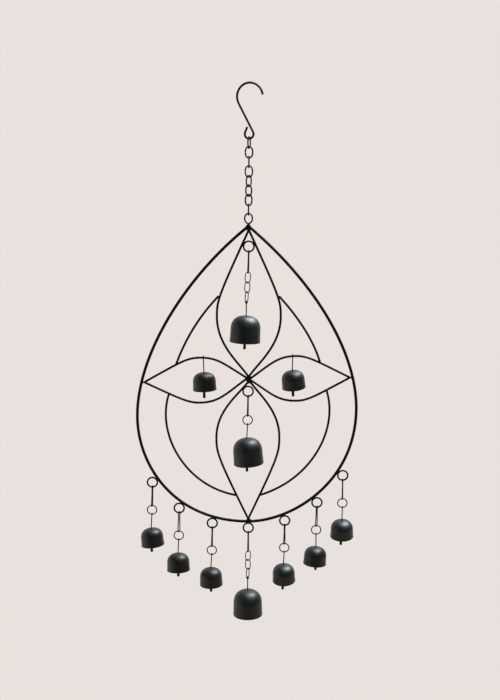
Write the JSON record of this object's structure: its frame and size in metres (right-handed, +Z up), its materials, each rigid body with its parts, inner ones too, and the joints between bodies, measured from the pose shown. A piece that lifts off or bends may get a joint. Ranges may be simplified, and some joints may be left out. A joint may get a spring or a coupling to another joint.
{
  "type": "wind chime",
  "caption": "Hanging wind chime of black iron wire: an S-hook and chain carry a teardrop frame filled with wire petals, and dome bells with clappers hang in and under it.",
  "frame": {"origin": "the point the chime hangs from: the inside of the top of the hook's bow", "axes": "+Z up, along the line the chime hangs in; the frame lies in the XZ plane, with +Y to its back"},
  "size_m": [0.325, 0.0465, 0.7973],
  "materials": {
    "wire_black": "matte black paint",
    "link_black": "matte dark brown-black oxide",
    "bell_black": "satin charcoal"
  },
  "bodies": {
    "hook": {"s_hook": "wire_black"},
    "chain_link_1": {"chain_link_1": "link_black"},
    "chain_link_2": {"chain_link_2": "link_black"},
    "chain_link_3": {"chain_link_3": "link_black"},
    "chain_link_4": {"chain_link_4": "link_black"},
    "chain_link_5": {"chain_link_5": "link_black"},
    "chain_link_6": {"chain_link_6": "link_black"},
    "chain_link_7": {"chain_link_7": "link_black"},
    "chain_link_8": {"chain_link_8": "link_black"},
    "frame": {"hanging_eye": "link_black", "outer_frame": "wire_black", "flower": "wire_black", "upper_left_arc": "wire_black", "upper_right_arc": "wire_black", "lower_left_arc": "wire_black", "lower_right_arc": "wire_black"},
    "string_1_drop_link": {"string_1_drop_link": "link_black"},
    "string_1_ring": {"string_1_ring": "link_black"},
    "string_1_bell": {"string_1_bell": "bell_black"},
    "string_1_clapper": {"string_1_clapper": "wire_black"},
    "string_2_drop_link": {"string_2_drop_link": "link_black"},
    "string_2_ring": {"string_2_ring": "link_black"},
    "string_2_bell": {"string_2_bell": "bell_black"},
    "string_2_clapper": {"string_2_clapper": "wire_black"},
    "string_3_drop_link": {"string_3_drop_link": "link_black"},
    "string_3_ring": {"string_3_ring": "link_black"},
    "string_3_bell": {"string_3_bell": "bell_black"},
    "string_3_clapper": {"string_3_clapper": "wire_black"},
    "string_5_drop_link": {"string_5_drop_link": "link_black"},
    "string_5_ring": {"string_5_ring": "link_black"},
    "string_5_bell": {"string_5_bell": "bell_black"},
    "string_5_clapper": {"string_5_clapper": "wire_black"},
    "string_6_drop_link": {"string_6_drop_link": "link_black"},
    "string_6_ring": {"string_6_ring": "link_black"},
    "string_6_bell": {"string_6_bell": "bell_black"},
    "string_6_clapper": {"string_6_clapper": "wire_black"},
    "string_7_drop_link": {"string_7_drop_link": "link_black"},
    "string_7_ring": {"string_7_ring": "link_black"},
    "string_7_bell": {"string_7_bell": "bell_black"},
    "string_7_clapper": {"string_7_clapper": "wire_black"},
    "middle_drop_link": {"middle_drop_link": "link_black"},
    "middle_ring": {"middle_ring": "link_black"},
    "middle_bell": {"middle_bell": "bell_black"},
    "middle_clapper": {"middle_clapper": "wire_black"},
    "string_4_drop_link": {"string_4_drop_link": "link_black"},
    "string_4_chain_link_1": {"string_4_chain_link_1": "link_black"},
    "string_4_chain_link_2": {"string_4_chain_link_2": "link_black"},
    "string_4_chain_link_3": {"string_4_chain_link_3": "link_black"},
    "string_4_bell": {"string_4_bell": "bell_black"},
    "string_4_clapper": {"string_4_clapper": "wire_black"},
    "top_drop_link": {"top_drop_link": "link_black"},
    "top_chain_link_1": {"top_chain_link_1": "link_black"},
    "top_chain_link_2": {"top_chain_link_2": "link_black"},
    "top_chain_link_3": {"top_chain_link_3": "link_black"},
    "top_bell": {"top_bell": "bell_black"},
    "top_clapper": {"top_clapper": "wire_black"},
    "left_bell": {"left_bell": "bell_black"},
    "left_clapper": {"left_clapper": "wire_black"},
    "right_bell": {"right_bell": "bell_black"},
    "right_clapper": {"right_clapper": "wire_black"}
  },
  "joints": [
    {"name": "chain_link_1_swing", "type": "hinge", "parent": "hook", "child": "chain_link_1", "pos_m": [-0.0011, 0, -0.07445], "axis": [1, 0, 0], "range_deg": [-20, 20]},
    {"name": "chain_link_2_swing", "type": "hinge", "parent": "chain_link_1", "child": "chain_link_2", "pos_m": [-0.00121, 0, -0.08738], "axis": [0.3256, 0.9455, 0], "range_deg": [-20, 20]},
    {"name": "chain_link_3_swing", "type": "hinge", "parent": "chain_link_2", "child": "chain_link_3", "pos_m": [-0.00133, 0, -0.10061], "axis": [1, 0, 0], "range_deg": [-20, 20]},
    {"name": "chain_link_4_swing", "type": "hinge", "parent": "chain_link_3", "child": "chain_link_4", "pos_m": [-0.00144, 0, -0.11384], "axis": [0, 1, 0], "range_deg": [-20, 20]},
    {"name": "chain_link_5_swing", "type": "hinge", "parent": "chain_link_4", "child": "chain_link_5", "pos_m": [-0.00156, 0, -0.12707], "axis": [0.9903, -0.1392, 0], "range_deg": [-20, 20]},
    {"name": "chain_link_6_swing", "type": "hinge", "parent": "chain_link_5", "child": "chain_link_6", "pos_m": [-0.00167, 0, -0.1403], "axis": [0.682, 0.7314, 0], "range_deg": [-20, 20]},
    {"name": "chain_link_7_swing", "type": "hinge", "parent": "chain_link_6", "child": "chain_link_7", "pos_m": [-0.00179, 0, -0.15353], "axis": [0.788, -0.6157, 0], "range_deg": [-20, 20]},
    {"name": "chain_link_8_swing", "type": "hinge", "parent": "chain_link_7", "child": "chain_link_8", "pos_m": [-0.00191, 0, -0.16676], "axis": [0.9063, 0.4226, 0], "range_deg": [-20, 20]},
    {"name": "frame_swing", "type": "hinge", "parent": "chain_link_8", "child": "frame", "pos_m": [-0.00202, 0, -0.17999], "axis": [0, 1, 0], "range_deg": [-20, 20]},
    {"name": "string_1_drop_link_swing", "type": "hinge", "parent": "frame", "child": "string_1_drop_link", "pos_m": [-0.1454, 0, -0.58349], "axis": [1, 0, 0], "range_deg": [-40, 40]},
    {"name": "string_1_ring_swing", "type": "hinge", "parent": "string_1_drop_link", "child": "string_1_ring", "pos_m": [-0.14658, 0, -0.61416], "axis": [0.2079, 0.9781, 0], "range_deg": [-12, 12]},
    {"name": "string_1_bell_swing", "type": "hinge", "parent": "string_1_ring", "child": "string_1_bell", "pos_m": [-0.14705, 0, -0.62646], "axis": [1, 0, 0], "range_deg": [-30, 30]},
    {"name": "string_1_clapper_swing", "type": "hinge", "parent": "string_1_bell", "child": "string_1_clapper", "pos_m": [-0.14836, -0.0003, -0.65266], "axis": [0, 1, 0], "range_deg": [-20, 20]},
    {"name": "string_2_drop_link_swing", "type": "hinge", "parent": "frame", "child": "string_2_drop_link", "pos_m": [-0.106, 0, -0.62409], "axis": [1, 0, 0], "range_deg": [-40, 40]},
    {"name": "string_2_ring_swing", "type": "hinge", "parent": "string_2_drop_link", "child": "string_2_ring", "pos_m": [-0.10707, 0, -0.65477], "axis": [0.4384, 0.8988, 0], "range_deg": [-12, 12]},
    {"name": "string_2_bell_swing", "type": "hinge", "parent": "string_2_ring", "child": "string_2_bell", "pos_m": [-0.1075, 0, -0.66706], "axis": [1, 0, 0], "range_deg": [-30, 30]},
    {"name": "string_2_clapper_swing", "type": "hinge", "parent": "string_2_bell", "child": "string_2_clapper", "pos_m": [-0.10878, -0.00041, -0.69289], "axis": [0, 1, 0], "range_deg": [-20, 20]},
    {"name": "string_3_drop_link_swing", "type": "hinge", "parent": "frame", "child": "string_3_drop_link", "pos_m": [-0.05659, 0, -0.64798], "axis": [1, 0, 0], "range_deg": [-40, 40]},
    {"name": "string_3_ring_swing", "type": "hinge", "parent": "string_3_drop_link", "child": "string_3_ring", "pos_m": [-0.05745, 0, -0.67867], "axis": [0.2079, 0.9781, 0], "range_deg": [-12, 12]},
    {"name": "string_3_bell_swing", "type": "hinge", "parent": "string_3_ring", "child": "string_3_bell", "pos_m": [-0.05779, 0, -0.69096], "axis": [1, 0, 0], "range_deg": [-30, 30]},
    {"name": "string_3_clapper_swing", "type": "hinge", "parent": "string_3_bell", "child": "string_3_clapper", "pos_m": [-0.05929, -0.00003, -0.71721], "axis": [0, 1, 0], "range_deg": [-20, 20]},
    {"name": "string_5_drop_link_swing", "type": "hinge", "parent": "frame", "child": "string_5_drop_link", "pos_m": [0.05223, 0, -0.64397], "axis": [1, 0, 0], "range_deg": [-40, 40]},
    {"name": "string_5_ring_swing", "type": "hinge", "parent": "string_5_drop_link", "child": "string_5_ring", "pos_m": [0.05185, 0, -0.67467], "axis": [0.342, 0.9397, 0], "range_deg": [-12, 12]},
    {"name": "string_5_bell_swing", "type": "hinge", "parent": "string_5_ring", "child": "string_5_bell", "pos_m": [0.0517, 0, -0.68697], "axis": [1, 0, 0], "range_deg": [-30, 30]},
    {"name": "string_5_clapper_swing", "type": "hinge", "parent": "string_5_bell", "child": "string_5_clapper", "pos_m": [0.05089, 0.00051, -0.71251], "axis": [0, 1, 0], "range_deg": [-20, 20]},
    {"name": "string_6_drop_link_swing", "type": "hinge", "parent": "frame", "child": "string_6_drop_link", "pos_m": [0.10028, 0, -0.61535], "axis": [1, 0, 0], "range_deg": [-40, 40]},
    {"name": "string_6_ring_swing", "type": "hinge", "parent": "string_6_drop_link", "child": "string_6_ring", "pos_m": [0.09975, 0, -0.64605], "axis": [0.4695, 0.8829, 0], "range_deg": [-12, 12]},
    {"name": "string_6_bell_swing", "type": "hinge", "parent": "string_6_ring", "child": "string_6_bell", "pos_m": [0.09953, 0, -0.65835], "axis": [1, 0, 0], "range_deg": [-30, 30]},
    {"name": "string_6_clapper_swing", "type": "hinge", "parent": "string_6_bell", "child": "string_6_clapper", "pos_m": [0.09944, -0.00017, -0.68293], "axis": [0, 1, 0], "range_deg": [-20, 20]},
    {"name": "string_7_drop_link_swing", "type": "hinge", "parent": "frame", "child": "string_7_drop_link", "pos_m": [0.13813, 0, -0.57279], "axis": [1, 0, 0], "range_deg": [-40, 40]},
    {"name": "string_7_ring_swing", "type": "hinge", "parent": "string_7_drop_link", "child": "string_7_ring", "pos_m": [0.13834, 0, -0.60349], "axis": [0.2079, 0.9781, 0], "range_deg": [-12, 12]},
    {"name": "string_7_bell_swing", "type": "hinge", "parent": "string_7_ring", "child": "string_7_bell", "pos_m": [0.13843, 0, -0.61579], "axis": [1, 0, 0], "range_deg": [-30, 30]},
    {"name": "string_7_clapper_swing", "type": "hinge", "parent": "string_7_bell", "child": "string_7_clapper", "pos_m": [0.13831, 0.00048, -0.64076], "axis": [0, 1, 0], "range_deg": [-20, 20]},
    {"name": "middle_drop_link_swing", "type": "hinge", "parent": "frame", "child": "middle_drop_link", "pos_m": [-0.00272, 0, -0.44379], "axis": [1, 0, 0], "range_deg": [-40, 40]},
    {"name": "middle_ring_swing", "type": "hinge", "parent": "middle_drop_link", "child": "middle_ring", "pos_m": [-0.00326, 0, -0.47448], "axis": [0.2079, 0.9781, 0], "range_deg": [-12, 12]},
    {"name": "middle_bell_swing", "type": "hinge", "parent": "middle_ring", "child": "middle_bell", "pos_m": [-0.00347, 0, -0.48678], "axis": [1, 0, 0], "range_deg": [-30, 30]},
    {"name": "middle_clapper_swing", "type": "hinge", "parent": "middle_bell", "child": "middle_clapper", "pos_m": [-0.00444, -0.00004, -0.51203], "axis": [0, 1, 0], "range_deg": [-20, 20]},
    {"name": "string_4_drop_link_swing", "type": "hinge", "parent": "frame", "child": "string_4_drop_link", "pos_m": [-0.00254, 0, -0.65544], "axis": [1, 0, 0], "range_deg": [-40, 40]},
    {"name": "string_4_chain_link_1_swing", "type": "hinge", "parent": "string_4_drop_link", "child": "string_4_chain_link_1", "pos_m": [-0.00279, 0, -0.68663], "axis": [0.2079, 0.9781, 0], "range_deg": [-15, 15]},
    {"name": "string_4_chain_link_2_swing", "type": "hinge", "parent": "string_4_chain_link_1", "child": "string_4_chain_link_2", "pos_m": [-0.00301, 0, -0.70058], "axis": [0.9063, 0.4226, 0], "range_deg": [-15, 15]},
    {"name": "string_4_chain_link_3_swing", "type": "hinge", "parent": "string_4_chain_link_2", "child": "string_4_chain_link_3", "pos_m": [-0.00323, 0, -0.71468], "axis": [0.8829, -0.4695, 0], "range_deg": [-15, 15]},
    {"name": "string_4_bell_swing", "type": "hinge", "parent": "string_4_chain_link_3", "child": "string_4_bell", "pos_m": [-0.00345, 0, -0.72878], "axis": [0.5, 0.866, 0], "range_deg": [-15, 15]},
    {"name": "string_4_clapper_swing", "type": "hinge", "parent": "string_4_bell", "child": "string_4_clapper", "pos_m": [-0.00359, -0.00007, -0.75338], "axis": [0, 1, 0], "range_deg": [-20, 20]},
    {"name": "top_drop_link_swing", "type": "hinge", "parent": "frame", "child": "top_drop_link", "pos_m": [-0.00167, 0, -0.23169], "axis": [1, 0, 0], "range_deg": [-40, 40]},
    {"name": "top_chain_link_1_swing", "type": "hinge", "parent": "top_drop_link", "child": "top_chain_link_1", "pos_m": [-0.00259, 0, -0.26257], "axis": [0.2079, 0.9781, 0], "range_deg": [-5, 5]},
    {"name": "top_chain_link_2_swing", "type": "hinge", "parent": "top_chain_link_1", "child": "top_chain_link_2", "pos_m": [-0.00342, 0, -0.2765], "axis": [0.9063, 0.4226, 0], "range_deg": [-8, 8]},
    {"name": "top_chain_link_3_swing", "type": "hinge", "parent": "top_chain_link_2", "child": "top_chain_link_3", "pos_m": [-0.00425, 0, -0.29057], "axis": [0.8829, -0.4695, 0], "range_deg": [-8, 8]},
    {"name": "top_bell_swing", "type": "hinge", "parent": "top_chain_link_3", "child": "top_bell", "pos_m": [-0.00509, 0, -0.30465], "axis": [0.5, 0.866, 0], "range_deg": [-10, 10]},
    {"name": "top_clapper_swing", "type": "hinge", "parent": "top_bell", "child": "top_clapper", "pos_m": [-0.00562, -0.00018, -0.32804], "axis": [0, 1, 0], "range_deg": [-20, 20]},
    {"name": "left_bell_swing", "type": "hinge", "parent": "frame", "child": "left_bell", "pos_m": [-0.0676, 0, -0.38602], "axis": [1, 0, 0], "range_deg": [-30, 30]},
    {"name": "left_clapper_swing", "type": "hinge", "parent": "left_bell", "child": "left_clapper", "pos_m": [-0.06689, -0.00014, -0.41181], "axis": [0, 1, 0], "range_deg": [-20, 20]},
    {"name": "right_bell_swing", "type": "hinge", "parent": "frame", "child": "right_bell", "pos_m": [0.06215, 0, -0.38371], "axis": [1, 0, 0], "range_deg": [-30, 30]},
    {"name": "right_clapper_swing", "type": "hinge", "parent": "right_bell", "child": "right_clapper", "pos_m": [0.06211, 0.00034, -0.40937], "axis": [0, 1, 0], "range_deg": [-20, 20]}
  ]
}
